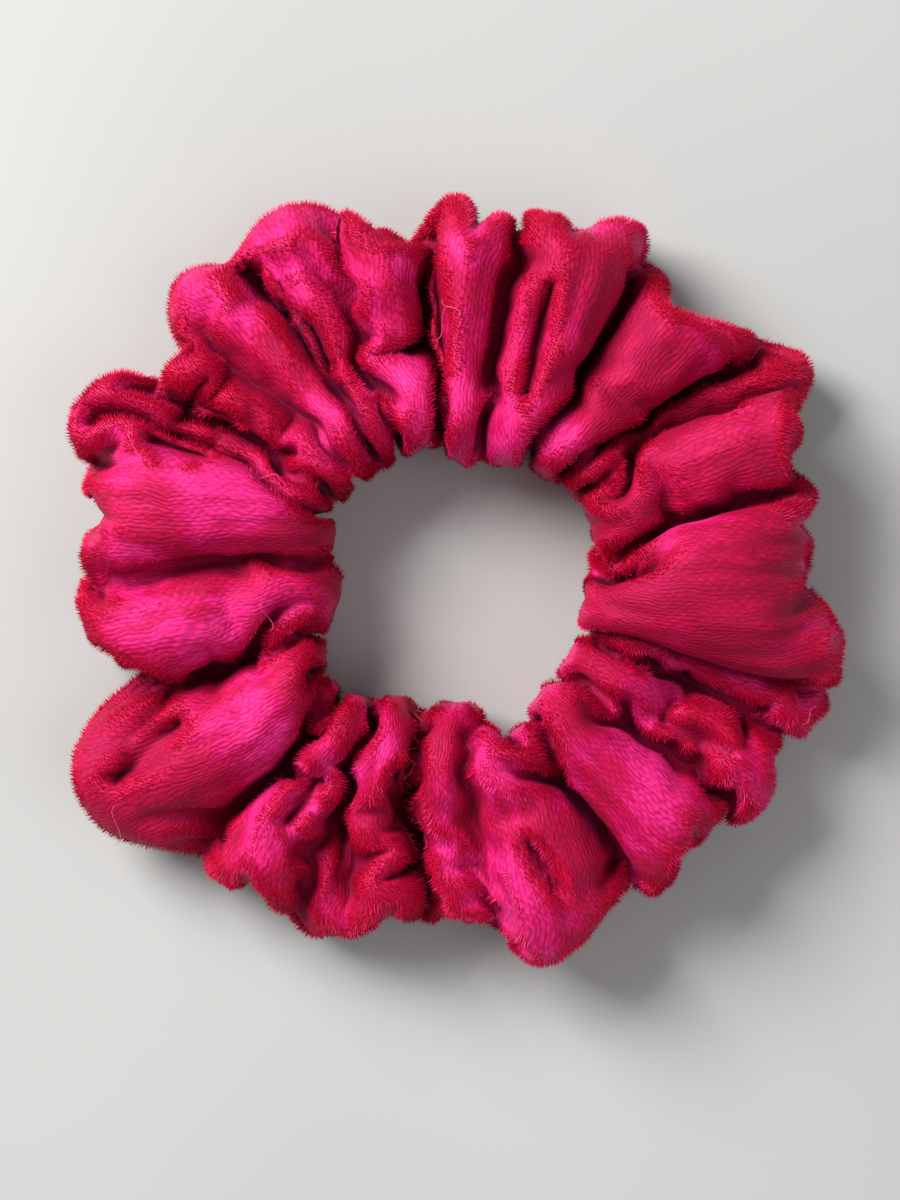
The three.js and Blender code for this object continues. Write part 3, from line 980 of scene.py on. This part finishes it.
def make_camera():
    low, high = CAD_BOX
    camera = bpy.data.objects.new("camera", bpy.data.cameras.new("camera"))
    bpy.context.collection.objects.link(camera)
    middle = (low + high) / 2
    camera.location = (-RING_SHIFT[0], -RING_SHIFT[1], middle.z + CAMERA_DISTANCE)
    camera.data.sensor_width = SENSOR
    camera.data.lens = SENSOR * CAMERA_DISTANCE / VIEW_HEIGHT
    bpy.context.scene.camera = camera


def make_floor():
    half = FLOOR_HALF
    corners = [(-half, -half, 0), (half, -half, 0), (half, half, 0), (-half, half, 0)]
    floor = new_mesh("floor", np.array(corners) / MM, np.array([[0, 1, 2, 3]]), False)
    floor.data.materials.append(floor_paint())


def make_light(name, place, size, power, colour):
    lamp = bpy.data.lights.new(name, "AREA")
    lamp.size = size
    lamp.energy = power
    lamp.color = colour
    light = bpy.data.objects.new(name, lamp)
    bpy.context.collection.objects.link(light)
    light.location = place
    light.rotation_euler = (-Vector(place)).to_track_quat("-Z", "Y").to_euler()


def make_lights():
    make_light("window", place=(-0.46, 0.38, 0.5), size=0.42, power=13.0, colour=(1.0, 0.99, 0.97))
    make_light("room", place=(0.5, -0.25, 0.6), size=0.7, power=2.2, colour=WORLD_COLOUR)
    world = bpy.data.worlds.new("world")
    world.use_nodes = True
    background = world.node_tree.nodes["Background"].inputs
    background["Color"].default_value = (*WORLD_COLOUR, 1)
    background["Strength"].default_value = WORLD_STRENGTH
    bpy.context.scene.world = world
    bpy.context.scene.view_settings.view_transform = "Standard"


# ---- Threads ----

def make_side_seam(cloth):
    """The machine stitches of the long seam, on its allowance inside the tube."""
    inset, sway, radius = 1.1, 0.18, 0.16
    seam = cloth.grid[:, 0]
    inward = unit(cloth.grid.mean(1) - seam)
    wave = sway * np.cos(np.arange(len(seam)) * math.pi / 2)[:, None]
    path = seam + inward * inset + cloth.dv[:, 0] * wave
    return new_mesh("side_seam_stitches", *tube(path, radius, closed=True))


def make_closing_seam(cloth):
    """The ladder stitches that close the ring: short steps over the join, all round the tube."""
    reach, out, radius = 0.75, 0.28, 0.17
    across = unit(cloth.grid[1] - cloth.grid[-1])
    side = np.where(np.arange(len(across)) // 2 % 2, reach, -reach)[:, None]
    points = cloth.grid[0] + across * side + cloth.normals[0] * out
    return new_mesh("closing_seam_stitches", *tube(points, radius, closed=True))


def make_elastic_stitching():
    """The zigzag through the elastic's lap."""
    corners, half_span, half_width = 14, 9.0, 1.9
    inner, layer, gap, out = 25.0, 1.2, 0.3, 0.25
    radius = inner + 2 * layer + gap + out
    k = np.linspace(0, corners, corners * 6 + 1)
    up = half_width * (2 * np.abs((k / 2) % 1 * 2 - 1) - 1)
    angle = np.radians(270 + half_span * (2 * k / corners - 1))
    path = np.stack([radius * np.cos(angle), radius * np.sin(angle), ELASTIC_HEIGHT + up], -1)
    return new_mesh("lap_stitching", *tube(path, 0.18, taper=True))


# Loose fibres: angle, radius, height, length and heading in degrees
FIBRES = [
    (93, 36, 22, 5.0, 40), (91, 38, 22.5, 3.5, 110), (-145, 57, 15, 6.0, 60), (-139, 55, 13, 5.0, -50),
    (38, 53, 15, 3.0, 10), (-171, 26, 20, 4.0, 80), (-20, 52, 17, 3.0, 30), (150, 30, 20, 4.0, -30),
]


def make_fibres(cloth):
    """A few fibres that have worked loose and lie on the pile."""
    tree = search_tree(cloth.grid)
    parts = []
    for angle, radius, height, length, heading in FIBRES:
        t = np.linspace(-0.5, 0.5, 15)
        a, h = math.radians(angle), math.radians(heading)
        x = radius * math.cos(a) + length * (t * math.cos(h) - 0.25 * np.sin(5 * t) * math.sin(h))
        y = radius * math.sin(a) + length * (t * math.sin(h) + 0.25 * np.sin(5 * t) * math.cos(h))
        z = []
        for p, q in zip(x, y):
            hit = tree.ray_cast(Vector((p, q, 60)), Vector((0, 0, -1)))[0]
            z.append((hit.z if hit else 0.0) + 1.0)
        z = np.convolve(np.pad(z, 2, mode="edge"), np.ones(5) / 5, "valid")
        z = np.maximum(z, np.max(z) - 2.5)
        parts.append(tube(np.stack([x, y, z], -1), 0.045, sides=4, taper=True))
    return join("loose_fibres", parts)


# ---- The build ----

def paint(piece, material):
    piece.data.materials.append(material)


def stretch_along(piece):
    """Bakes the piece's transform into its mesh."""
    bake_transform(piece)


make_camera()
make_floor()
make_lights()

gathering = Gathering()
cloth = Cloth(gathering.run(), gathering.lines[CLOSING_FOLD])

cover = make_cover(cloth)
pile = make_pile(cloth)
elastic = make_elastic()
lap = make_elastic_stitching()
side_seam = make_side_seam(cloth)
closing_seam = make_closing_seam(cloth)
fibres = make_fibres(cloth)

paint(cover, velvet_ground())
pile_material = velvet_pile()
for piece in pile:
    paint(piece, pile_material)
paint(fibres, twisted_thread("loose_fibre", (0.75, 0.05, 0.16), (0.5, 0.01, 0.06)))
paint(elastic, elastic_weave())
paint(lap, twisted_thread("white_thread", (0.8, 0.78, 0.74), (0.5, 0.48, 0.44)))
red = twisted_thread("red_thread", (0.5, 0.004, 0.04), (0.2, 0.0, 0.015))
paint(side_seam, red)
paint(closing_seam, red)

gathers = sorted(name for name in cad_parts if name.startswith("cover_gather_"))
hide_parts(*gathers)
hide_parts("elastic_band")
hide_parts("elastic_stitching")
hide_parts("side_seam_thread")
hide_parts("closing_seam_thread")
for piece in (cover, *pile, elastic, lap, side_seam, closing_seam, fibres):
    stretch_along(piece)
